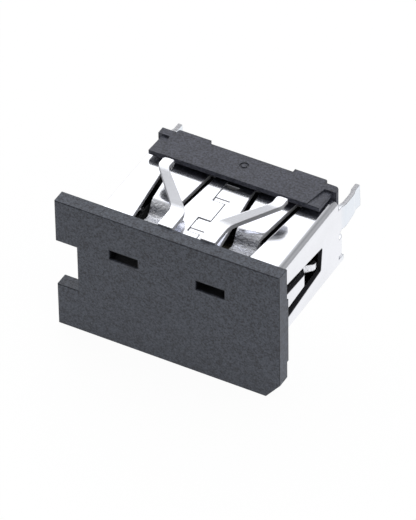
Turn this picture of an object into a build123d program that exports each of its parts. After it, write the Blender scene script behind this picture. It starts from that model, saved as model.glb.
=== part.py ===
"""Short upright type-A serial bus port, soldered to a board by its rear and closed by a moulded front cover.

Millimetres. X runs along the mouth's width, Y from the mouth towards the board, Z up across the mouth's
height. The origin is where the plug's axis meets the board: the rear pads of the housing lie on Y = 0.
"""
from build123d import *
import os

# Plug mouth and the folded steel around it
SHEET = 0.30
MOUTH_WIDTH = 12.50
MOUTH_HEIGHT = 5.12
BEND_INNER_RADIUS = 0.20
PORT_HEIGHT = 8.77
WALL_BOARD_GAP = 0.15
TOP_BOARD_GAP = 0.90

HALF_WIDTH = MOUTH_WIDTH / 2 + SHEET
HALF_HEIGHT = MOUTH_HEIGHT / 2 + SHEET
WALL_MID = HALF_HEIGHT - SHEET / 2
SIDE_MID = HALF_WIDTH - SHEET / 2
MOUTH_Y = -PORT_HEIGHT

# Plug springs cut from the top and bottom walls, rooted at the rear
WINDOW_REAR_Y = -2.20
WINDOW_FRONT_MARGIN = 0.57
WINDOW_INNER_X_REAR = 1.36
WINDOW_INNER_X_FRONT = 2.02
WINDOW_OUTER_X_REAR = 4.80
WINDOW_OUTER_X_FRONT = 4.16
SPRING_INNER_X_REAR = 1.79
SPRING_INNER_X_TIP = 2.33
SPRING_OUTER_X_REAR = 4.36
SPRING_OUTER_X_TIP = 3.70
SPRING_CONTACT_SETBACK = 2.07
SPRING_CONTACT_DROP = 0.88
SPRING_KNEE_RUN = 0.50
SPRING_TIP_RUN = 0.92
SPRING_TIP_DROP = 0.60
SPRING_BEND_RADIUS = 0.60
LOWER_SPRING_RATIO = 0.5

SPRING_CONTACT_Y = MOUTH_Y + SPRING_CONTACT_SETBACK
SPRING_KNEE_Y = SPRING_CONTACT_Y + SPRING_KNEE_RUN
SPRING_TIP_Y = SPRING_CONTACT_Y - SPRING_TIP_RUN

# Jigsaw seam where the folded sheet closes, along the middle of the top wall
SEAM_GAP = 0.05
SEAM_LEFT_X = -0.48
SEAM_RIGHT_X = 0.40
SEAM_STEP_SETBACKS = [4.32, 2.45, 1.02]
SEAM_POCKET_LENGTH = 0.34
SEAM_MIDDLE_POCKET_LENGTH = 0.26
SEAM_POCKET_DEPTH = 0.05
CATCH_WIDTH = 1.02
CATCH_DEPTH = 0.33
CATCH_REAR_Y = -2.70

SEAM_STEPS_Y = [MOUTH_Y + setback for setback in SEAM_STEP_SETBACKS]

# Ground arms folded back over the top wall from the mouth's edge
ARM_RISE = 0.70
ARM_NOTCH_LENGTH = 0.50
ARM_FOLD_RADIUS = 0.17
ARM_INNER_X = 1.00
ARM_WIDTH = 1.03
ARM_TIP_INNER_X = 3.69
ARM_TIP_WIDTH = 0.73
ARM_KINK_SETBACK = 1.82
ARM_RAMP_RUN = 2.57
ARM_TIP_RUN = 0.91
ARM_TIP_RISE = 1.38
ARM_CURL_DROP = 0.12
ARM_RAMP_RADIUS = 2.40
ARM_SWEEP_RADIUS = 1.30
ARM_ELBOW_RADIUS = 1.00
ARM_TURN_RADIUS = 0.55

ARM_OUTER_X = ARM_INNER_X + ARM_WIDTH
ARM_TIP_OUTER_X = ARM_TIP_INNER_X + ARM_TIP_WIDTH
ARM_KINK_Y = MOUTH_Y + ARM_KINK_SETBACK
ARM_RAMP_END_Y = ARM_KINK_Y + ARM_RAMP_RUN
ARM_TIP_Y = ARM_RAMP_END_Y + ARM_TIP_RUN

# Side springs, rooted at the mouth, in a tapered window of each side wall
SIDE_WINDOW_Z = -0.22
SIDE_WINDOW_HALF_FRONT = 1.47
SIDE_WINDOW_HALF_REAR = 0.89
SIDE_WINDOW_REAR_SLANT = 0.20
SIDE_WINDOW_CORNER_RADIUS = 0.18
SIDE_WINDOW_TIP_GAP = 0.49
SIDE_SPRING_HALF_FRONT = 0.66
SIDE_SPRING_HALF_BEND = 0.44
SIDE_SPRING_HALF_TIP = 0.19
SIDE_SPRING_TIP_Z = -0.33
SIDE_SPRING_BEND_SETBACK = 3.31
SIDE_SPRING_CONTACT_RUN = 0.91
SIDE_SPRING_ROLL_RUN = 0.75
SIDE_SPRING_TIP_RUN = 0.30
SIDE_SPRING_REACH = 0.64

SIDE_SPRING_BEND_Y = MOUTH_Y + SIDE_SPRING_BEND_SETBACK
SIDE_SPRING_CONTACT_Y = SIDE_SPRING_BEND_Y + SIDE_SPRING_CONTACT_RUN
SIDE_SPRING_ROLL_Y = SIDE_SPRING_CONTACT_Y + SIDE_SPRING_ROLL_RUN
SIDE_SPRING_TIP_Y = SIDE_SPRING_ROLL_Y + SIDE_SPRING_TIP_RUN
SIDE_WINDOW_REAR_Y = SIDE_SPRING_TIP_Y + SIDE_WINDOW_TIP_GAP

# Solder legs and the tabs that hold the housing, at the rear of each side wall
LEG_LENGTH = 2.13
LEG_TOP_Z = 2.04
LEG_WIDTH = 1.58
LEG_TIP_WIDTH = 1.74
LEG_FLARE = 0.30
LEG_TIP_SLANT = 0.11
LEG_BOW = 0.12
LEG_BOW_RUN = 0.40
LEG_BOW_END_Y = 1.45
TAB_TOP_Z = -0.43
TAB_BOTTOM_Z = -1.84
TAB_RELIEF = 0.24
TAB_RELIEF_TOP_Z = -0.05
TAB_SETBACK = 0.16
TAB_LENGTH = 0.95
RELIEF_BOARD_GAP = 0.80

# Moulded housing: base, tongue, and the lip that hooks over the top wall
FIT = 0.03
PAD_HEIGHT = 0.29
BASE_FRONT_Y = -2.20
TONGUE_WIDTH = 11.10
TONGUE_THICKNESS = 1.84
TONGUE_SETBACK = 1.07
TONGUE_NOSE_CHAMFER = 0.35
LIP_HALF_WIDTH = 6.10
LIP_FRONT_Y = -2.65
LIP_TOP_RISE = 0.60
LIP_GAP = 0.26
LIP_RAMP_FRONT_X = 5.21
LIP_RAMP_REAR_X = 5.56
LIP_RAMP_FRONT_STEP = 0.02
LIP_RAMP_REAR_STEP = 0.14
EAR_HALF_WIDTH = 6.38
EAR_RIGHT_CORNER_RADIUS = 0.36
EAR_LEFT_CORNER_RADIUS = 0.12
PAD_INNER_X = 3.00
PAD_OUTER_X = 5.36
PAD_TOP_SPAN = 2.10
PAD_BOTTOM_SPAN = 1.25
PAD_CORNER_RADIUS = 0.18
GATE_MARK_RADIUS = 0.30
GATE_MARK_DEPTH = 0.05
GATE_MARK_Y = -1.20

# Contacts
CONTACT_SHEET = 0.25
CONTACT_WIDTH = 1.00
CONTACT_X = [-3.50, -1.00, 1.00, 3.50]
CONTACT_SEAT_Z = -0.62
CONTACT_CREST_Z = 0.52
CONTACT_TIP_RUN = 1.50
CONTACT_TIP_CLEARANCE = 0.25
CONTACT_TIP_Z = -0.35
CONTACT_BEND_RADIUS = 0.50
TAIL_LENGTH = 2.00
TAIL_WIDTH = 0.70
TAIL_TIP_WIDTH = 0.35
TAIL_TAPER = 0.45
GROOVE_WIDTH = 1.20
GROOVE_FLOOR_Z = -1.10
GROOVE_NOSE_WALL = 0.45

CONTACT_TIP_Y = MOUTH_Y + TONGUE_SETBACK + GROOVE_NOSE_WALL + CONTACT_TIP_CLEARANCE
CONTACT_CREST_Y = CONTACT_TIP_Y + CONTACT_TIP_RUN

# Front cover
COVER_WIDTH = 16.00
COVER_HEIGHT = 10.20
COVER_THICKNESS = 1.00
COVER_LEFT_OVERHANG = 2.36
COVER_TOP_OVERHANG = 0.60
COVER_EDGE_RADIUS = 0.06
COVER_NOTCH_DEPTH = 1.53
COVER_NOTCH_HEIGHT = 3.61
COVER_NOTCH_TOP = 3.30
COVER_CORNER_X = 1.01
COVER_CORNER_Z = 1.27
COVER_SLOT_WIDTH = 2.07
COVER_SLOT_HEIGHT = 0.76
COVER_SLOT_PITCH = 6.18
COVER_SLOT_TOP = 2.54
COVER_LEDGE_WIDTH = 0.45
COVER_LEDGE_THICKNESS = 0.17
COVER_LEDGE_TOP = 2.55
COVER_LEDGE_HEIGHT = 5.10
COLLAR_GAP = 0.10
COLLAR_WALL = 0.60
COLLAR_DEPTH = 0.90


def folded_sheet(plane, path, sheet, breadth):
    """Sheet of one thickness along an open path of edges, extruded evenly to both sides of its plane."""
    with BuildPart() as strip:
        with BuildSketch(plane):
            trace(path, line_width=sheet)
        extrude(amount=breadth / 2, both=True)
    return strip.part


def cut_to_outline(strip, plane, outline, corner_radii=()):
    """Keeps what lies inside a closed outline drawn on the plane, whose corners may be rounded."""
    with BuildPart() as piece:
        add(strip)
        with BuildSketch(plane):
            with BuildLine():
                if corner_radii:
                    FilletPolyline(*outline, radius=corner_radii, close=True)
                else:
                    Polyline(*outline, close=True)
            make_face()
        extrude(amount=2 * HALF_WIDTH, both=True, mode=Mode.INTERSECT)
    return piece.part


def plug_spring(drop_ratio):
    """Right plug spring of the top wall: a long flat beam, a contact bend and an upturned tip."""
    with BuildLine() as path:
        FilletPolyline(
            (WINDOW_REAR_Y + SHEET, WALL_MID),
            (SPRING_KNEE_Y, WALL_MID),
            (SPRING_CONTACT_Y, WALL_MID - SPRING_CONTACT_DROP * drop_ratio),
            (SPRING_TIP_Y, WALL_MID - SPRING_TIP_DROP * drop_ratio),
            radius=SPRING_BEND_RADIUS,
        )
    outline = [
        (SPRING_INNER_X_REAR, WINDOW_REAR_Y + SHEET),
        (SPRING_INNER_X_REAR, WINDOW_REAR_Y),
        (SPRING_INNER_X_TIP, SPRING_TIP_Y - SHEET),
        (SPRING_OUTER_X_TIP, SPRING_TIP_Y - SHEET),
        (SPRING_OUTER_X_REAR, WINDOW_REAR_Y),
        (SPRING_OUTER_X_REAR, WINDOW_REAR_Y + SHEET),
    ]
    strip = folded_sheet(Plane.YZ, path.line, SHEET, MOUTH_WIDTH)
    return cut_to_outline(strip, Plane.XY, outline)


def ground_arm():
    """Right ground arm: a square fold at the mouth, a flat root, a ramp that runs outwards, a curled tip."""
    arm_mid = WALL_MID + ARM_RISE
    tip_mid = WALL_MID + ARM_TIP_RISE
    with BuildLine() as path:
        FilletPolyline(
            (MOUTH_Y + ARM_NOTCH_LENGTH + SHEET, WALL_MID),
            (MOUTH_Y + SHEET / 2, WALL_MID),
            (MOUTH_Y + SHEET / 2, arm_mid),
            (ARM_KINK_Y, arm_mid),
            (ARM_RAMP_END_Y, tip_mid),
            (ARM_TIP_Y - SHEET, tip_mid),
            (ARM_TIP_Y, tip_mid - ARM_CURL_DROP),
            radius=[ARM_FOLD_RADIUS, ARM_FOLD_RADIUS, ARM_RAMP_RADIUS, ARM_RAMP_RADIUS, SHEET],
        )
    with BuildPart() as strip:
        with BuildSketch(Plane.YZ):
            trace(path.line, line_width=SHEET)
            # The fold is coined square on its outside
            with Locations((MOUTH_Y, arm_mid + SHEET / 2)):
                Rectangle(SHEET, SHEET, align=(Align.MIN, Align.MAX))
        extrude(amount=MOUTH_WIDTH / 2, both=True)
    outline = [
        (ARM_INNER_X, MOUTH_Y - SHEET),
        (ARM_INNER_X, ARM_KINK_Y),
        (ARM_TIP_INNER_X, ARM_RAMP_END_Y),
        (ARM_TIP_INNER_X, ARM_TIP_Y),
        (ARM_TIP_OUTER_X, ARM_TIP_Y),
        (ARM_TIP_OUTER_X, ARM_RAMP_END_Y),
        (ARM_OUTER_X, ARM_KINK_Y),
        (ARM_OUTER_X, MOUTH_Y - SHEET),
    ]
    corner = ARM_TIP_WIDTH * 0.3
    radii = [0, ARM_SWEEP_RADIUS, ARM_TURN_RADIUS, corner, corner, ARM_TURN_RADIUS, ARM_ELBOW_RADIUS, 0]
    return cut_to_outline(strip.part, Plane.XY, outline, radii)


def side_spring():
    """Right side spring: flat from the mouth, bent into the plug's path, with a tip rolled outwards."""
    contact_x = SIDE_MID - SIDE_SPRING_REACH
    with BuildLine() as path:
        FilletPolyline(
            (SIDE_MID, MOUTH_Y + SHEET),
            (SIDE_MID, SIDE_SPRING_BEND_Y),
            (contact_x, SIDE_SPRING_CONTACT_Y),
            (SIDE_MID, SIDE_SPRING_ROLL_Y),
            (SIDE_MID - SHEET, SIDE_SPRING_TIP_Y),
            radius=SHEET * 0.8,
        )
    outline = [
        (MOUTH_Y + SHEET, SIDE_WINDOW_Z - SIDE_SPRING_HALF_FRONT),
        (SIDE_SPRING_BEND_Y, SIDE_WINDOW_Z - SIDE_SPRING_HALF_BEND),
        (SIDE_SPRING_TIP_Y, SIDE_SPRING_TIP_Z - SIDE_SPRING_HALF_TIP),
        (SIDE_SPRING_TIP_Y, SIDE_SPRING_TIP_Z + SIDE_SPRING_HALF_TIP),
        (SIDE_SPRING_BEND_Y, SIDE_WINDOW_Z + SIDE_SPRING_HALF_BEND),
        (MOUTH_Y + SHEET, SIDE_WINDOW_Z + SIDE_SPRING_HALF_FRONT),
    ]
    strip = folded_sheet(Plane.XY, path.line, SHEET, MOUTH_HEIGHT)
    corner = SIDE_SPRING_HALF_TIP * 0.85
    return cut_to_outline(strip, Plane.YZ, outline, [0, 0, corner, corner, 0, 0])


def retention_tab():
    """Right rear tab, bent inwards behind the housing."""
    tab_mid_y = -TAB_SETBACK - SHEET / 2
    with BuildLine() as path:
        FilletPolyline(
            (SIDE_MID, -RELIEF_BOARD_GAP - SHEET),
            (SIDE_MID, tab_mid_y),
            (HALF_WIDTH - TAB_LENGTH, tab_mid_y),
            radius=SHEET * 0.6,
        )
    outline = [
        (-PORT_HEIGHT / 2, TAB_BOTTOM_Z),
        (0, TAB_BOTTOM_Z),
        (0, TAB_TOP_Z),
        (-PORT_HEIGHT / 2, TAB_TOP_Z),
    ]
    strip = folded_sheet(Plane.XY, path.line, SHEET, MOUTH_HEIGHT)
    return cut_to_outline(strip, Plane.YZ, outline)


def solder_leg():
    """Right solder leg: flared at its root, bowed outwards to hold in its slot, and slanted at its end."""
    root_y = -TOP_BOARD_GAP - SHEET
    bow_x = SIDE_MID + LEG_BOW
    waist_z = LEG_TOP_Z - LEG_WIDTH
    with BuildLine() as path:
        FilletPolyline(
            (SIDE_MID, root_y),
            (SIDE_MID, -LEG_BOW_RUN),
            (bow_x, 0),
            (bow_x, LEG_BOW_END_Y - LEG_BOW_RUN),
            (SIDE_MID, LEG_BOW_END_Y),
            (SIDE_MID, LEG_LENGTH + SHEET),
            radius=SHEET * 0.6,
        )
    outline = [
        (root_y, LEG_TOP_Z),
        (LEG_LENGTH - LEG_TIP_SLANT, LEG_TOP_Z),
        (LEG_LENGTH, LEG_TOP_Z - LEG_TIP_WIDTH),
        (LEG_LENGTH / 2, waist_z),
        (-WALL_BOARD_GAP - SHEET, waist_z - LEG_FLARE),
        (-RELIEF_BOARD_GAP, TAB_RELIEF_TOP_Z),
        (root_y, TAB_RELIEF_TOP_Z),
    ]
    strip = folded_sheet(Plane.XY, path.line, SHEET, MOUTH_HEIGHT)
    return cut_to_outline(strip, Plane.YZ, outline)


spring = plug_spring(1)
lower_spring = plug_spring(LOWER_SPRING_RATIO).mirror(Plane.XY)
arm = ground_arm()
side = side_spring()
tab = retention_tab()
leg = solder_leg()

with BuildPart() as shell:
    with BuildSketch(Plane.XZ.offset(WALL_BOARD_GAP)):
        RectangleRounded(2 * HALF_WIDTH, 2 * HALF_HEIGHT, BEND_INNER_RADIUS + SHEET)
        RectangleRounded(MOUTH_WIDTH, MOUTH_HEIGHT, BEND_INNER_RADIUS, mode=Mode.SUBTRACT)
    extrude(amount=PORT_HEIGHT - WALL_BOARD_GAP)

    # The top wall and its bends end short of the board, where the housing's bar stands
    with BuildSketch(Plane.XY.offset(LEG_TOP_Z)):
        with Locations((0, -TOP_BOARD_GAP)):
            Rectangle(3 * HALF_WIDTH, TOP_BOARD_GAP, align=(Align.CENTER, Align.MIN))
    extrude(amount=HALF_HEIGHT, mode=Mode.SUBTRACT)

    # Side walls are cut back above the rear tabs, and relieved below them
    with BuildSketch(Plane.YZ) as relief:
        with BuildLine():
            Polyline(
                (-RELIEF_BOARD_GAP, LEG_TOP_Z),
                (0, LEG_TOP_Z),
                (0, TAB_BOTTOM_Z - TAB_RELIEF),
                (-RELIEF_BOARD_GAP, TAB_BOTTOM_Z - TAB_RELIEF),
                close=True,
            )
        make_face()
    extrude(amount=2 * HALF_WIDTH, both=True, mode=Mode.SUBTRACT)

    # Windows round the plug springs, the same in the top and the bottom wall
    with BuildSketch() as windows:
        with BuildLine():
            Polyline(
                (WINDOW_INNER_X_REAR, WINDOW_REAR_Y),
                (WINDOW_INNER_X_FRONT, MOUTH_Y + WINDOW_FRONT_MARGIN),
                (WINDOW_OUTER_X_FRONT, MOUTH_Y + WINDOW_FRONT_MARGIN),
                (WINDOW_OUTER_X_REAR, WINDOW_REAR_Y),
                close=True,
            )
        make_face()
        mirror(about=Plane.YZ)
    extrude(amount=2 * HALF_HEIGHT, both=True, mode=Mode.SUBTRACT)

    # Windows round the side springs
    with BuildSketch(Plane.YZ) as side_windows:
        with BuildLine():
            Polyline(
                (MOUTH_Y + WINDOW_FRONT_MARGIN, SIDE_WINDOW_Z - SIDE_WINDOW_HALF_FRONT),
                (SIDE_WINDOW_REAR_Y - SIDE_WINDOW_REAR_SLANT, SIDE_WINDOW_Z - SIDE_WINDOW_HALF_REAR),
                (SIDE_WINDOW_REAR_Y, SIDE_WINDOW_Z + SIDE_WINDOW_HALF_REAR),
                (MOUTH_Y + WINDOW_FRONT_MARGIN, SIDE_WINDOW_Z + SIDE_WINDOW_HALF_FRONT),
                close=True,
            )
        make_face()
        fillet(side_windows.vertices().sort_by(Axis.X)[-2:], SIDE_WINDOW_CORNER_RADIUS)
    extrude(amount=2 * HALF_WIDTH, both=True, mode=Mode.SUBTRACT)

    # Jigsaw seam, right through the top wall
    with BuildSketch(Plane.XY.offset(MOUTH_HEIGHT / 2 - SHEET)):
        with BuildLine() as seam:
            Polyline(
                (SEAM_LEFT_X, 0),
                (SEAM_LEFT_X, SEAM_STEPS_Y[0]),
                (SEAM_RIGHT_X, SEAM_STEPS_Y[0]),
                (SEAM_RIGHT_X, SEAM_STEPS_Y[1]),
                (SEAM_LEFT_X, SEAM_STEPS_Y[1]),
                (SEAM_LEFT_X, SEAM_STEPS_Y[2]),
                (SEAM_RIGHT_X, SEAM_STEPS_Y[2]),
                (SEAM_RIGHT_X, MOUTH_Y),
            )
        trace(line_width=SEAM_GAP)
        with Locations((0, CATCH_REAR_Y)):
            Ellipse(CATCH_WIDTH / 2, CATCH_DEPTH)
        with Locations((0, CATCH_REAR_Y)):
            Rectangle(CATCH_WIDTH, CATCH_WIDTH, align=(Align.CENTER, Align.MIN), mode=Mode.SUBTRACT)
        with Locations((SEAM_LEFT_X, CATCH_REAR_Y)):
            Rectangle(SEAM_GAP, -CATCH_REAR_Y - TOP_BOARD_GAP, align=(Align.CENTER, Align.MIN))
    extrude(amount=2 * SHEET, mode=Mode.SUBTRACT)

    # Shallow coined pockets at the seam's steps
    with BuildSketch(Plane.XY.offset(HALF_HEIGHT - SEAM_POCKET_DEPTH)):
        for step_y in (SEAM_STEPS_Y[0], SEAM_STEPS_Y[2]):
            with Locations((SEAM_LEFT_X, step_y)):
                Rectangle(CATCH_WIDTH, SEAM_POCKET_LENGTH, align=Align.MIN)
        with Locations((SEAM_LEFT_X, SEAM_STEPS_Y[1])):
            middle_width = SEAM_RIGHT_X - SEAM_LEFT_X
            Rectangle(middle_width, SEAM_MIDDLE_POCKET_LENGTH, align=(Align.MIN, Align.MAX))
    extrude(amount=SHEET, mode=Mode.SUBTRACT)

    # The mouth's edge is cut away beside the arms' folds
    with BuildSketch(Plane.XY.offset(MOUTH_HEIGHT / 2 - SHEET)):
        arm_centre_x = (ARM_INNER_X + ARM_OUTER_X) / 2
        with Locations((arm_centre_x, MOUTH_Y), (-arm_centre_x, MOUTH_Y)):
            Rectangle(ARM_WIDTH + SHEET / 2, ARM_NOTCH_LENGTH, align=(Align.CENTER, Align.MIN))
    extrude(amount=2 * SHEET, mode=Mode.SUBTRACT)

    for feature in (spring, lower_spring, arm, side, tab, leg):
        add(feature)
        add(feature.mirror(Plane.YZ))

shell.part.label = "shell"

with BuildPart() as housing:
    lip_top_z = HALF_HEIGHT + LIP_TOP_RISE
    base_width = MOUTH_WIDTH - 2 * FIT
    base_height = MOUTH_HEIGHT - 2 * FIT
    tongue_length = PORT_HEIGHT - TONGUE_SETBACK + BASE_FRONT_Y
    bar_front_y = -TOP_BOARD_GAP + FIT

    # Base, held inside the shell
    with BuildSketch(Plane.XZ.offset(PAD_HEIGHT)):
        RectangleRounded(base_width, base_height, BEND_INNER_RADIUS)
    extrude(amount=-BASE_FRONT_Y - PAD_HEIGHT)

    # Tongue, with its contact face on the plug's axis
    with BuildSketch(Plane.XZ.offset(-BASE_FRONT_Y)):
        Rectangle(TONGUE_WIDTH, TONGUE_THICKNESS, align=(Align.CENTER, Align.MAX))
    extrude(amount=tongue_length)
    nose_edges = housing.faces().sort_by(Axis.Y)[0].edges()
    chamfer(nose_edges, TONGUE_NOSE_CHAMFER)

    # Bar behind the top wall, with an ear over each solder leg
    with BuildSketch(Plane.XY.offset(LEG_TOP_Z + FIT)) as bar:
        with Locations((0, -PAD_HEIGHT)):
            Rectangle(2 * EAR_HALF_WIDTH, -bar_front_y - PAD_HEIGHT, align=(Align.CENTER, Align.MAX))
    extrude(amount=lip_top_z - LEG_TOP_Z - FIT, mode=Mode.SUBTRACT)
    with BuildSketch(Plane.XY.offset(LEG_TOP_Z + FIT)) as eared_bar:
        add(bar.sketch_local)
        left_corner, right_corner = eared_bar.vertices().group_by(Axis.Y)[-1].sort_by(Axis.X)
        fillet(right_corner, EAR_RIGHT_CORNER_RADIUS)
        fillet(left_corner, EAR_LEFT_CORNER_RADIUS)
    extrude(amount=lip_top_z - LEG_TOP_Z - FIT)

    # Lip over the top wall
    with BuildSketch(Plane.XY.offset(HALF_HEIGHT + LIP_GAP)):
        with Locations((0, bar_front_y)):
            Rectangle(2 * LIP_HALF_WIDTH, bar_front_y - LIP_FRONT_Y, align=(Align.CENTER, Align.MAX))
    extrude(amount=LIP_TOP_RISE - LIP_GAP)

    # Each end of the lip is a ramp that sinks towards the bar, bounded by a slanting step
    for side_sign in (1, -1):
        for ramp_y, ramp_x, step in (
            (LIP_FRONT_Y - FIT, LIP_RAMP_FRONT_X, LIP_RAMP_FRONT_STEP),
            (bar_front_y, LIP_RAMP_REAR_X, LIP_RAMP_REAR_STEP),
        ):
            with BuildSketch(Plane.XZ.offset(-ramp_y)):
                with BuildLine():
                    Polyline(
                        (side_sign * ramp_x, lip_top_z),
                        (side_sign * HALF_WIDTH, lip_top_z),
                        (side_sign * HALF_WIDTH, lip_top_z - step),
                        (side_sign * ramp_x, lip_top_z - step),
                        close=True,
                    )
                make_face()
        loft(mode=Mode.SUBTRACT)

    # Pads that lie on the board
    with BuildSketch(Plane.XZ.offset(PAD_HEIGHT)):
        pad_centre_x = (PAD_INNER_X + PAD_OUTER_X) / 2
        pad_width = PAD_OUTER_X - PAD_INNER_X
        with Locations((pad_centre_x, lip_top_z), (-pad_centre_x, lip_top_z)):
            Rectangle(pad_width, PAD_TOP_SPAN, align=(Align.CENTER, Align.MAX))
        with Locations((pad_centre_x, -base_height / 2), (-pad_centre_x, -base_height / 2)):
            Rectangle(pad_width, PAD_BOTTOM_SPAN, align=(Align.CENTER, Align.MIN))
    extrude(amount=-PAD_HEIGHT)
    pad_edges = housing.edges().filter_by(Axis.Z).group_by(Axis.Y)[-1].filter_by(
        lambda edge: abs(edge.center().X) > pad_centre_x
    )
    fillet(pad_edges, PAD_CORNER_RADIUS)

    # Recesses for the shell's rear tabs
    with BuildSketch(Plane.YZ.offset(HALF_WIDTH - TAB_LENGTH - FIT)) as tab_recess:
        with Locations((-TAB_SETBACK - SHEET - FIT, TAB_BOTTOM_Z - FIT)):
            Rectangle(PORT_HEIGHT / 2, TAB_TOP_Z - TAB_BOTTOM_Z + 2 * FIT, align=Align.MIN)
    extrude(amount=HALF_WIDTH, mode=Mode.SUBTRACT)
    with BuildSketch(Plane.YZ.offset(TAB_LENGTH + FIT - HALF_WIDTH)):
        add(tab_recess.sketch_local)
    extrude(amount=-HALF_WIDTH, mode=Mode.SUBTRACT)

    # Contact grooves in the tongue, and the slots that carry the contacts through the base
    with BuildSketch(Plane.XY.offset(GROOVE_FLOOR_Z)):
        groove_length = tongue_length - GROOVE_NOSE_WALL
        for contact_x in CONTACT_X:
            with Locations((contact_x, BASE_FRONT_Y)):
                Rectangle(GROOVE_WIDTH, groove_length, align=(Align.CENTER, Align.MAX))
    extrude(amount=-GROOVE_FLOOR_Z, mode=Mode.SUBTRACT)
    with BuildSketch(Plane.XZ):
        for contact_x in CONTACT_X:
            with Locations((contact_x, CONTACT_SEAT_Z)):
                Rectangle(CONTACT_WIDTH + 2 * FIT, CONTACT_SHEET + 2 * FIT)
    extrude(amount=-BASE_FRONT_Y, mode=Mode.SUBTRACT)

    # Round moulding mark on the bar
    with BuildSketch(Plane.XY.offset(lip_top_z - GATE_MARK_DEPTH)):
        with Locations((0, GATE_MARK_Y)):
            Circle(GATE_MARK_RADIUS)
            Circle(GATE_MARK_RADIUS * 0.6, mode=Mode.SUBTRACT)
    extrude(amount=GATE_MARK_DEPTH, mode=Mode.SUBTRACT)

housing.part.label = "housing"


def contact(centre_x):
    """Contact spring: a tail through the base, a rising beam, a rounded crest and a tip in the groove."""
    with BuildLine() as path:
        FilletPolyline(
            (TAIL_LENGTH, CONTACT_SEAT_Z),
            (BASE_FRONT_Y - CONTACT_SHEET, CONTACT_SEAT_Z),
            (CONTACT_CREST_Y, CONTACT_CREST_Z),
            (CONTACT_TIP_Y, CONTACT_TIP_Z),
            radius=CONTACT_BEND_RADIUS,
        )
    outline = [
        (CONTACT_WIDTH / 2, CONTACT_TIP_Y - CONTACT_SHEET),
        (CONTACT_WIDTH / 2, -PAD_HEIGHT),
        (TAIL_WIDTH / 2, -PAD_HEIGHT),
        (TAIL_WIDTH / 2, TAIL_LENGTH - TAIL_TAPER),
        (TAIL_TIP_WIDTH / 2, TAIL_LENGTH),
        (-TAIL_TIP_WIDTH / 2, TAIL_LENGTH),
        (-TAIL_WIDTH / 2, TAIL_LENGTH - TAIL_TAPER),
        (-TAIL_WIDTH / 2, -PAD_HEIGHT),
        (-CONTACT_WIDTH / 2, -PAD_HEIGHT),
        (-CONTACT_WIDTH / 2, CONTACT_TIP_Y - CONTACT_SHEET),
    ]
    strip = folded_sheet(Plane.YZ, path.line, CONTACT_SHEET, 2 * CONTACT_WIDTH)
    return cut_to_outline(strip, Plane.XY, outline).moved(Location((centre_x, 0, 0)))


with BuildPart() as front_cover:
    left_x = -HALF_WIDTH - COVER_LEFT_OVERHANG
    right_x = left_x + COVER_WIDTH
    cover_centre_x = (left_x + right_x) / 2
    top_z = HALF_HEIGHT + COVER_TOP_OVERHANG
    bottom_z = top_z - COVER_HEIGHT
    notch_top_z = top_z - COVER_NOTCH_TOP
    with BuildSketch(Plane.XZ.offset(PORT_HEIGHT)):
        with BuildLine():
            Polyline(
                (left_x, top_z),
                (left_x, notch_top_z),
                (left_x + COVER_NOTCH_DEPTH, notch_top_z),
                (left_x + COVER_NOTCH_DEPTH, notch_top_z - COVER_NOTCH_HEIGHT),
                (left_x, notch_top_z - COVER_NOTCH_HEIGHT),
                (left_x, bottom_z),
                (right_x - COVER_CORNER_X, bottom_z),
                (right_x, bottom_z + COVER_CORNER_Z),
                (right_x, top_z),
                close=True,
            )
        make_face()
    extrude(amount=COVER_THICKNESS)
    fillet(front_cover.edges().group_by(Axis.Y)[0], COVER_EDGE_RADIUS)

    # Two windows, level with the space above the tongue
    with BuildSketch(Plane.XZ.offset(PORT_HEIGHT)):
        slot_z = top_z - COVER_SLOT_TOP
        with Locations(
            (cover_centre_x - COVER_SLOT_PITCH / 2, slot_z),
            (cover_centre_x + COVER_SLOT_PITCH / 2, slot_z),
        ):
            Rectangle(COVER_SLOT_WIDTH, COVER_SLOT_HEIGHT, align=(Align.CENTER, Align.MAX))
    extrude(amount=COVER_THICKNESS, mode=Mode.SUBTRACT)

    # Ledge behind the right edge
    with BuildSketch(Plane.XZ.offset(PORT_HEIGHT)):
        with Locations((right_x, top_z - COVER_LEDGE_TOP)):
            Rectangle(COVER_LEDGE_WIDTH, COVER_LEDGE_HEIGHT, align=Align.MAX)
    extrude(amount=-COVER_LEDGE_THICKNESS)

    # Collar that plugs into the mouth
    with BuildSketch(Plane.XZ.offset(PORT_HEIGHT)):
        collar_width = MOUTH_WIDTH - 2 * COLLAR_GAP
        collar_height = MOUTH_HEIGHT - 2 * COLLAR_GAP
        RectangleRounded(collar_width, collar_height, BEND_INNER_RADIUS)
        Rectangle(collar_width - 2 * COLLAR_WALL, collar_height - 2 * COLLAR_WALL, mode=Mode.SUBTRACT)
    extrude(amount=-COLLAR_DEPTH)

front_cover.part.label = "front_cover"

os.makedirs("parts", exist_ok=True)
export_step(shell.part, "parts/shell.step")
export_step(housing.part, "parts/housing.step")
export_step(front_cover.part, "parts/front_cover.step")
for number, contact_x in enumerate(CONTACT_X, start=1):
    blade = contact(contact_x)
    blade.label = f"contact_{number}"
    export_step(blade, f"parts/contact_{number}.step")
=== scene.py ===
"""Looks of the upright serial bus port: plated shell, moulded charcoal plastics and gold-plated contacts.

Metres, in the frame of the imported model. The part stands on the lower edge of its cover, on a white table.
"""
import math

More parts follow.
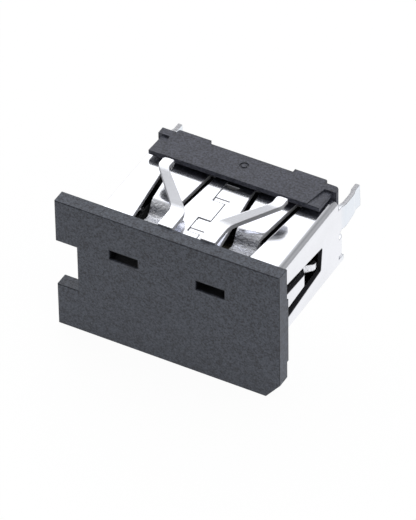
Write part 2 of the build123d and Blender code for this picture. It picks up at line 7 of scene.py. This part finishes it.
import bpy
from mathutils import Euler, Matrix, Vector


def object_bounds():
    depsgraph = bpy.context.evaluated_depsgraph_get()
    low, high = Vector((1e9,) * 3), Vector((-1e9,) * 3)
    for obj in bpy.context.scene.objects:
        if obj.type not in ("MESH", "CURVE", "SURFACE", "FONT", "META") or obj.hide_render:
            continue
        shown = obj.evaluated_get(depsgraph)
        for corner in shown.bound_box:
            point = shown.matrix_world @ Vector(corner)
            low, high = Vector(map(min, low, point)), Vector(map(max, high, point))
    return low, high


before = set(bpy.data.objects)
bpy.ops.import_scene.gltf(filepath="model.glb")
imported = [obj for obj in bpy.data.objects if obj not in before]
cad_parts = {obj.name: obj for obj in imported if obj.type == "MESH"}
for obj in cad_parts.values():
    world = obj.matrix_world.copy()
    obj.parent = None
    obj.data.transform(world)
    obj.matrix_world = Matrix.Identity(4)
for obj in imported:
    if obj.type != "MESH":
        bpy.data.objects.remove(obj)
cad_box = [list(corner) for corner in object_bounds()]

MM = 0.001

# The folded shell, measured from the middle of its mouth, and places along Y where zones of colour and of
# painted shade end
INNER_HALF_WIDTH = 6.25 * MM
INNER_HALF_HEIGHT = 2.56 * MM
SHEET = 0.30 * MM
SHEET_ROUNDING = 0.08 * MM
WINDOW_MARGIN = 0.40 * MM
SIDE_WINDOW_END_Y = -1.10 * MM
LEG_DIP_Y = -0.60 * MM
MOUTH_END_Y = -1.30 * MM
GOLD_END_Y = -4.90 * MM

# The cover's two slots, whose walls get near-black painted shade
SLOTS_MIDDLE_X = -0.91 * MM
SLOT_OFFSET = 3.09 * MM
SLOT_MIDDLE_Z = 0.54 * MM
SLOT_HALF_WIDTH = 1.035 * MM
SLOT_HALF_HEIGHT = 0.38 * MM
SLOT_SOFT = 0.02 * MM
COVER_ROUNDING = 0.06 * MM

# How sharply the zones of a surface end, and the lean at which a face counts as the cut edge of the sheet
SOFT = 0.03 * MM
SPRING_SOFT = 0.04 * MM
WINDOW_SOFT = 0.10 * MM
EDGE_LEAN = 0.35
EDGE_LEAN_SOFT = 0.25

# Grain of the surfaces, in waves a metre, and the stretch that turns it into rolling lines
ROLLING_SCALE = 900.0
ROLLING_STRETCH = 14.0
PEEL_SCALE = 4500.0
BEND_GRAIN_SCALE = 6500.0
STAIN_SCALE = 330.0
MOTTLE_TO_GRAIN = 0.35

# Camera, from the fit to the cover's corners and the shell's edges
CAMERA_PLACE = (127.619 * MM, -233.871 * MM, 225.747 * MM)
CAMERA_TURN_DEGREES = (49.0643, 0.6825, 28.6653)
CAMERA_LENS = 379.986
SENSOR_WIDTH = 36.0

# Light: a white tent that is brightest behind the part and falls off towards the front
BRIGHT_DIRECTION = (-0.60, 0.70, 0.40)
TENT_COLOUR = (0.985, 0.99, 1.0)
TENT_STOPS = [
    (-0.50, 0.02),
    (-0.25, 0.10),
    (0.02, 0.40),
    (0.22, 0.44),
    (0.45, 0.30),
    (0.62, 0.48),
    (0.76, 0.66),
    (0.88, 1.50),
    (1.0, 1.70),
]
TENT_FILL = 1.55
SIDE_DIRECTION = (1.0, -0.1, 0.1)
SIDE_FILL = 1.95
SIDE_SPREAD = 0.3
WHITE = (1.0, 1.0, 1.0)
FLOOR_REACH = 0.05
FLOOR_COLOUR = (0.98, 0.98, 0.98)
FLOOR_GLOW = 0.955
FLOOR_GAP = 0.01 * MM


class Nodes:
    """Short calls for building one node tree."""

    def __init__(self, tree):
        self.tree = tree
        tree.nodes.clear()

    def add(self, kind, inputs=None, **settings):
        node = self.tree.nodes.new(kind)
        for key, value in settings.items():
            setattr(node, key, value)
        for key, value in (inputs or {}).items():
            socket = node.inputs[key]
            if isinstance(value, bpy.types.NodeSocket):
                self.tree.links.new(value, socket)
            else:
                socket.default_value = value
        return node

    def place(self):
        return self.add("ShaderNodeTexCoord").outputs["Object"]

    def stretched(self, vector, scale):
        return self.add("ShaderNodeMapping", {"Vector": vector, "Scale": scale}).outputs["Vector"]

    def noise(self, vector, scale, detail=2.0, roughness=0.5):
        inputs = {"Vector": vector, "Scale": scale, "Detail": detail, "Roughness": roughness}
        return self.add("ShaderNodeTexNoise", inputs).outputs["Fac"]

    def ramp(self, factor, low, high, low_value, high_value):
        inputs = {
            "Value": factor,
            "From Min": low,
            "From Max": high,
            "To Min": low_value,
            "To Max": high_value,
        }
        return self.add("ShaderNodeMapRange", inputs, clamp=True).outputs["Result"]

    def mixed(self, factor, first, second):
        node = self.add("ShaderNodeMix", {"Factor": factor}, data_type="RGBA")
        for key, value in ((6, first), (7, second)):
            if isinstance(value, bpy.types.NodeSocket):
                self.tree.links.new(value, node.inputs[key])
            else:
                node.inputs[key].default_value = (*value, 1.0)
        return node.outputs[2]

    def sums(self, operation, first, second):
        node = self.add("ShaderNodeMath", operation=operation)
        for key, value in enumerate((first, second)):
            if isinstance(value, bpy.types.NodeSocket):
                self.tree.links.new(value, node.inputs[key])
            else:
                node.inputs[key].default_value = value
        return node.outputs["Value"]

    def size_of(self, value):
        return self.sums("ABSOLUTE", value, 0.0)

    def below(self, value, limit, soft):
        """1 below the limit, falling to 0 over a soft edge above it."""
        return self.ramp(value, limit, limit + soft, 1.0, 0.0)

    def above(self, value, limit, soft):
        """0 below the limit, rising to 1 over a soft edge above it."""
        return self.ramp(value, limit, limit + soft, 0.0, 1.0)

    def both(self, first, *others):
        for other in others:
            first = self.sums("MULTIPLY", first, other)
        return first

    def rounded_normal(self, radius):
        return self.add("ShaderNodeBevel", {"Radius": radius}, samples=6).outputs["Normal"]

    def edge(self, radius, sharpness):
        """1 along sharp edges, 0 on flat faces."""
        rounded = self.rounded_normal(radius)
        plain = self.add("ShaderNodeNewGeometry").outputs["Normal"]
        dot = self.add("ShaderNodeVectorMath", {0: rounded, 1: plain}, operation="DOT_PRODUCT")
        return self.ramp(dot.outputs["Value"], 1.0, sharpness, 0.0, 1.0)

    def bump(self, height, distance, strength, normal):
        inputs = {"Height": height, "Distance": distance, "Strength": strength, "Normal": normal}
        return self.add("ShaderNodeBump", inputs).outputs["Normal"]

    def principled(self, inputs):
        shader = self.add("ShaderNodeBsdfPrincipled", inputs)
        self.add("ShaderNodeOutputMaterial", {"Surface": shader.outputs["BSDF"]})


def new_material(name):
    material = bpy.data.materials.new(name)
    material.use_nodes = True
    return material, Nodes(material.node_tree)


def slot_shade_mask(n, place):
    """1 on the walls of the cover's two slots, where near-black painted shade goes, 0 elsewhere."""
    spot = n.add("ShaderNodeSeparateXYZ", {"Vector": place}).outputs
    from_middle = n.size_of(n.sums("SUBTRACT", spot["X"], SLOTS_MIDDLE_X))
    from_slot_x = n.size_of(n.sums("SUBTRACT", from_middle, SLOT_OFFSET))
    from_slot_z = n.size_of(n.sums("SUBTRACT", spot["Z"], SLOT_MIDDLE_Z))
    return n.both(
        n.below(from_slot_x, SLOT_HALF_WIDTH + SLOT_SOFT, SLOT_SOFT),
        n.below(from_slot_z, SLOT_HALF_HEIGHT + SLOT_SOFT, SLOT_SOFT),
        n.above(spot["Y"], cad_box[0][1] + COVER_ROUNDING, 0.10 * MM),
    )


def mouth_shade_mask(n, place):
    """1 inside the shell's mouth, where the housing gets near-black painted shade, 0 elsewhere."""
    spot = n.add("ShaderNodeSeparateXYZ", {"Vector": place}).outputs
    return n.both(
        n.below(n.size_of(spot["X"]), INNER_HALF_WIDTH, 0.05 * MM),
        n.below(n.size_of(spot["Z"]), INNER_HALF_HEIGHT, 0.05 * MM),
        n.below(spot["Y"], MOUTH_END_Y, 0.3 * MM),
    )


def moulded_plastic(name, colour, speck_colour, edge_shade_colour, roughness, grain_scale, painted_shade_zone):
    """Glass-filled moulded plastic: pale bluish specks, a mottled flow pattern, a dark painted shade along
    the edges, and a near-black painted shade over the zone given.

    The shaded edges are the sharp ones, and the rounded ones between a face square to Y and its neighbour.
    """
    material, n = new_material(name)
    place = n.place()
    grain = n.noise(place, grain_scale, 2.0, 0.7)
    mottle = n.noise(n.stretched(place, (0.7, 0.7, 1.0)), MOTTLE_TO_GRAIN * grain_scale, 3.0, 0.6)
    tone = n.sums("ADD", n.both(grain, 0.80), n.both(mottle, 0.20))
    body = n.mixed(n.ramp(tone, 0.37, 0.63, 0.0, 1.0), colour, speck_colour)
    normal = n.add("ShaderNodeTexCoord").outputs["Normal"]
    turned = n.size_of(n.add("ShaderNodeSeparateXYZ", {"Vector": normal}).outputs["Y"])
    fillet = n.both(n.above(turned, 0.15, 0.10), n.below(turned, 0.85, 0.10))
    # Painted shade: a dark line along sharp edges and along the rounded fillets.
    edge_shade = n.sums("MAXIMUM", n.both(n.edge(0.08 * MM, 0.86), 0.8), n.both(fillet, 0.75))
    edge_shaded = n.mixed(edge_shade, body, edge_shade_colour)
    n.principled({
        # Painted shade: the zone given, such as the slots' walls or the housing inside the mouth, goes near
        # black.
        "Base Color": n.mixed(n.both(painted_shade_zone(n, place), 0.95), edge_shaded, (0.002, 0.002, 0.003)),
        "Roughness": n.ramp(grain, 0.35, 0.65, roughness - 0.06, roughness + 0.10),
        "Specular IOR Level": 0.35,
        "Normal": n.bump(grain, 0.035 * MM, 0.8, n.rounded_normal(0.045 * MM)),
    })
    return material


def sheet_zones(n, place):
    """Masks of the folded sheet, in the order of the names it returns.

    inner_shade: the faces towards the mouth, darkened as painted shade. bent: the grained bends of the
    springs. sheared_top and sheared_side_shade: the cut edges in the windows, the side ones darkened as
    painted shade. legs: the dipped solder legs. outer_edges: the cut edges of the legs and of the raised
    arms.
    """
    spot = n.add("ShaderNodeSeparateXYZ", {"Vector": place}).outputs
    normal = n.add("ShaderNodeTexCoord").outputs["Normal"]
    facing = n.add("ShaderNodeSeparateXYZ", {"Vector": normal}).outputs
    across = n.size_of(spot["X"])
    upward = n.size_of(spot["Z"])
    out_z = n.both(n.sums("SIGN", spot["Z"], 0.0), facing["Z"])
    out_x = n.both(n.sums("SIGN", spot["X"], 0.0), facing["X"])
    by_the_side = n.above(across, INNER_HALF_WIDTH - 0.9 * MM, 0.2 * MM)
    outward = n.sums("MAXIMUM", n.above(out_z, 0.25, 0.15), n.both(by_the_side, n.above(out_x, 0.25, 0.15)))
    within = n.both(
        n.below(across, INNER_HALF_WIDTH - 0.05 * MM, SPRING_SOFT),
        n.below(upward, INNER_HALF_HEIGHT - 0.05 * MM, SPRING_SOFT),
    )
    inner_shade = n.both(within, n.sums("SUBTRACT", 1.0, outward))
    top_spring = n.both(
        n.below(upward, INNER_HALF_HEIGHT + SHEET - 0.10 * MM, SPRING_SOFT),
        n.below(across, INNER_HALF_WIDTH - WINDOW_MARGIN, WINDOW_SOFT),
    )
    side_spring = n.both(
        n.below(across, INNER_HALF_WIDTH + SHEET - 0.06 * MM, SPRING_SOFT),
        n.below(upward, INNER_HALF_HEIGHT - WINDOW_MARGIN, WINDOW_SOFT),
    )
    bent = n.both(n.sums("MAXIMUM", top_spring, side_spring), outward)
    sheared_top = n.both(
        n.above(upward, INNER_HALF_HEIGHT, SOFT),
        n.below(upward, INNER_HALF_HEIGHT + SHEET - SOFT, SOFT),
        n.below(across, INNER_HALF_WIDTH - WINDOW_MARGIN, WINDOW_SOFT),
        n.below(n.size_of(facing["Z"]), EDGE_LEAN, EDGE_LEAN_SOFT),
    )
    sheared_side_shade = n.both(
        n.above(across, INNER_HALF_WIDTH, SOFT),
        n.below(across, INNER_HALF_WIDTH + SHEET - SOFT, SOFT),
        n.below(upward, INNER_HALF_HEIGHT - WINDOW_MARGIN, WINDOW_SOFT),
        n.below(n.size_of(facing["X"]), EDGE_LEAN, EDGE_LEAN_SOFT),
        n.below(spot["Y"], SIDE_WINDOW_END_Y, WINDOW_SOFT),
    )
    legs = n.both(
        n.above(spot["Y"], LEG_DIP_Y, 0.5 * MM),
        n.above(across, INNER_HALF_WIDTH - 0.05 * MM, SOFT),
    )
    leg_edges = n.both(legs, n.below(n.size_of(facing["X"]), EDGE_LEAN, EDGE_LEAN_SOFT))
    arm_sides = n.both(
        n.above(spot["Z"], INNER_HALF_HEIGHT + SHEET + 0.05 * MM, SOFT),
        n.below(n.size_of(facing["Z"]), EDGE_LEAN, EDGE_LEAN_SOFT),
    )
    outer_edges = n.sums("MAXIMUM", arm_sides, leg_edges)
    return inner_shade, bent, sheared_top, sheared_side_shade, legs, outer_edges


def plated_sheet(name, colours, roughness):
    """Bright plated sheet steel: rolling lines, a slight orange peel, grained bends, dull sheared faces,
    and painted shade on the faces towards the mouth and on the cut faces in the side windows.
    """
    material, n = new_material(name)
    place = n.place()
    inner_shade, bent, sheared_top, sheared_side_shade, legs, outer_edges = sheet_zones(n, place)
    sheared = n.sums("MAXIMUM", n.sums("MAXIMUM", sheared_top, sheared_side_shade), outer_edges)
    rolling = n.noise(n.stretched(place, (1.0, ROLLING_STRETCH, ROLLING_STRETCH)), ROLLING_SCALE, 3.0)
    peel = n.noise(place, PEEL_SCALE, 3.0)
    grain = n.noise(place, BEND_GRAIN_SCALE, 2.0, 0.6)
    stains = n.noise(place, STAIN_SCALE, 3.0)
    edge = n.edge(0.05 * MM, 0.80)
    surface = n.mixed(n.ramp(stains, 0.45, 0.75, 0.0, 0.4), colours["plating"], colours["dull"])
    surface = n.mixed(n.both(edge, 0.5), surface, colours["dull"])
    # The inner_shade and sheared_side_shade zones paint shade into the colour.
    for zone, mask in (
        ("legs", legs),
        ("inner_shade", inner_shade),
        ("outer_edges", outer_edges),
        ("sheared_top", sheared_top),
        ("sheared_side_shade", sheared_side_shade),
    ):
        surface = n.mixed(mask, surface, colours[zone])
    rough_map = n.ramp(rolling, 0.3, 0.7, roughness - 0.03, roughness + 0.05)
    wear = n.sums("ADD", n.both(edge, 0.10), n.sums("ADD", n.both(bent, 0.10), n.both(sheared, 0.55)))
    waves = n.bump(peel, 0.010 * MM, 0.22, n.rounded_normal(SHEET_ROUNDING))
    grained = n.bump(n.both(n.sums("SUBTRACT", grain, 0.5), bent), 0.080 * MM, 1.0, waves)
    n.principled({
        "Base Color": surface,
        "Metallic": 1.0,
        "Roughness": n.sums("ADD", rough_map, wear),
        "Normal": n.bump(rolling, 0.002 * MM, 0.12, grained),
    })
    return material


def contact_plating(name, gold, tin, gold_ends_at, roughness):
    """Contact strip: gold on the beam inside the mouth, bright tin on the tail that is soldered."""
    material, n = new_material(name)
    place = n.place()
    along = n.add("ShaderNodeSeparateXYZ", {"Vector": place}).outputs["Y"]
    streaks = n.noise(n.stretched(place, (ROLLING_STRETCH, 1.0, ROLLING_STRETCH)), ROLLING_SCALE, 3.0)
    ragged = n.sums("ADD", along, n.ramp(streaks, 0.3, 0.7, -0.05 * MM, 0.05 * MM))
    tinned = n.ramp(ragged, gold_ends_at - 0.04 * MM, gold_ends_at + 0.04 * MM, 0.0, 1.0)
    n.principled({
        "Base Color": n.mixed(tinned, gold, tin),
        "Metallic": 1.0,
        "Roughness": n.ramp(streaks, 0.3, 0.7, roughness - 0.04, roughness + 0.06),
        "Normal": n.bump(streaks, 0.002 * MM, 0.15, n.rounded_normal(0.03 * MM)),
    })
    return material


def dress(node_name, material):
    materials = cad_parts[node_name].data.materials
    materials.clear()
    materials.append(material)


def tent_world():
    """World that is white to the camera, and a tent with one bright side to everything else."""
    world = bpy.data.worlds.new("tent")
    bpy.context.scene.world = world
    world.use_nodes = True
    n = Nodes(world.node_tree)
    rays = n.add("ShaderNodeLightPath").outputs
    seen = n.sums("MAXIMUM", rays["Is Camera Ray"], rays["Is Transmission Ray"])
    looking = n.add("ShaderNodeTexCoord").outputs["Generated"]
    toward = Vector(BRIGHT_DIRECTION).normalized()
    facing = n.add("ShaderNodeVectorMath", {0: looking, 1: tuple(toward)}, operation="DOT_PRODUCT")
    first, last = TENT_STOPS[0][0], TENT_STOPS[-1][0]
    along = n.ramp(facing.outputs["Value"], first, last, 0.0, 1.0)
    fall_off = n.add("ShaderNodeValToRGB", {"Fac": along})
    stops = fall_off.color_ramp.elements
    for _ in range(len(TENT_STOPS) - 2):
        stops.new(0.5)
    for stop, (dot, level) in zip(stops, TENT_STOPS):
        stop.position = (dot - first) / (last - first)
        stop.color = (*(level * channel for channel in TENT_COLOUR), 1.0)
    sideways = Vector(SIDE_DIRECTION).normalized()
    facing_side = n.add("ShaderNodeVectorMath", {0: looking, 1: tuple(sideways)}, operation="DOT_PRODUCT")
    side_level = n.ramp(facing_side.outputs["Value"], SIDE_SPREAD, 1.0, 0.0, SIDE_FILL)
    side = n.add("ShaderNodeBackground", {"Color": (*TENT_COLOUR, 1.0), "Strength": side_level})
    main = n.add("ShaderNodeBackground", {"Color": fall_off.outputs["Color"], "Strength": TENT_FILL})
    lighting = n.add("ShaderNodeAddShader", {0: main.outputs["Background"], 1: side.outputs["Background"]})
    mirrored = n.add("ShaderNodeBackground", {"Color": fall_off.outputs["Color"], "Strength": 1.0})
    white = n.add("ShaderNodeBackground", {"Color": (*WHITE, 1.0), "Strength": 1.0})
    tent = n.add("ShaderNodeMixShader", {
        0: rays["Is Glossy Ray"],
        1: lighting.outputs["Shader"],
        2: mirrored.outputs["Background"],
    })
    shown = n.add("ShaderNodeMixShader", {
        0: seen,
        1: tent.outputs["Shader"],
        2: white.outputs["Background"],
    })
    n.add("ShaderNodeOutputWorld", {"Surface": shown.outputs["Shader"]})


def white_table(level):
    """White table under the part: seen and mirrored as white, but it keeps a faint shadow."""
    mesh = bpy.data.meshes.new("table")
    corners = [(x * FLOOR_REACH, y * FLOOR_REACH, 0) for x, y in ((-1, -1), (1, -1), (1, 1), (-1, 1))]
    mesh.from_pydata(corners, [], [(0, 1, 2, 3)])
    table = bpy.data.objects.new("table", mesh)
    table.location = (0, 0, level)
    bpy.context.scene.collection.objects.link(table)
    material, n = new_material("table_top")
    rays = n.add("ShaderNodeLightPath").outputs
    shown = n.sums("MAXIMUM", rays["Is Camera Ray"], rays["Is Glossy Ray"])
    matt = n.add("ShaderNodeBsdfDiffuse", {"Color": (*FLOOR_COLOUR, 1.0)})
    glow = n.add("ShaderNodeEmission", {"Color": (*WHITE, 1.0), "Strength": 1.0})
    clear = n.add("ShaderNodeBsdfTransparent")
    lit = n.add("ShaderNodeMixShader", {
        0: n.sums("MULTIPLY", shown, FLOOR_GLOW),
        1: matt.outputs["BSDF"],
        2: glow.outputs["Emission"],
    })
    one_sided = n.add("ShaderNodeMixShader", {
        0: n.add("ShaderNodeNewGeometry").outputs["Backfacing"],
        1: lit.outputs["Shader"],
        2: clear.outputs["BSDF"],
    })
    n.add("ShaderNodeOutputMaterial", {"Surface": one_sided.outputs["Shader"]})
    mesh.materials.append(material)


plated = plated_sheet(
    name="plated_steel",
    colours={
        "plating": (0.87, 0.88, 0.925),
        "dull": (0.72, 0.73, 0.76),
        "legs": (0.80, 0.84, 0.90),
        # Painted shade on the faces towards the mouth.
        "inner_shade": (0.40, 0.40, 0.42),
        "outer_edges": (0.64, 0.64, 0.66),
        "sheared_top": (0.66, 0.66, 0.68),
        # Near-black painted shade on the cut faces in the side windows.
        "sheared_side_shade": (0.08, 0.08, 0.09),
    },
    roughness=0.16,
)
cover_plastic = moulded_plastic(
    name="cover_plastic",
    colour=(0.018, 0.019, 0.027),
    speck_colour=(0.089, 0.100, 0.124),
    # Painted shade along the cover's edges.
    edge_shade_colour=(0.008, 0.009, 0.012),
    roughness=0.48,
    grain_scale=7400.0,
    # Near-black painted shade on the walls of the slots.
    painted_shade_zone=slot_shade_mask,
)
housing_plastic = moulded_plastic(
    name="housing_plastic",
    colour=(0.018, 0.019, 0.027),
    speck_colour=(0.077, 0.081, 0.107),
    # Painted shade along the housing's edges.
    edge_shade_colour=(0.012, 0.013, 0.017),
    roughness=0.46,
    grain_scale=7000.0,
    # Near-black painted shade on the housing inside the mouth.
    painted_shade_zone=mouth_shade_mask,
)
contacts = contact_plating(
    name="contact_plating",
    gold=(0.60, 0.54, 0.42),
    tin=(0.58, 0.58, 0.59),
    gold_ends_at=GOLD_END_Y,
    roughness=0.22,
)

dress("shell", plated)
dress("housing", housing_plastic)
dress("front_cover", cover_plastic)
for number in range(1, 5):
    dress(f"contact_{number}", contacts)

tent_world()
white_table(cad_box[0][2] - FLOOR_GAP)

camera = bpy.data.cameras.new("camera")
camera.lens = CAMERA_LENS
camera.sensor_width = SENSOR_WIDTH
camera.clip_start = 0.01
camera.clip_end = 10.0
camera_holder = bpy.data.objects.new("camera", camera)
camera_holder.location = CAMERA_PLACE
camera_holder.rotation_euler = Euler([math.radians(angle) for angle in CAMERA_TURN_DEGREES], "XYZ")
bpy.context.scene.collection.objects.link(camera_holder)
bpy.context.scene.camera = camera_holder
bpy.context.scene.view_settings.view_transform = "Standard"
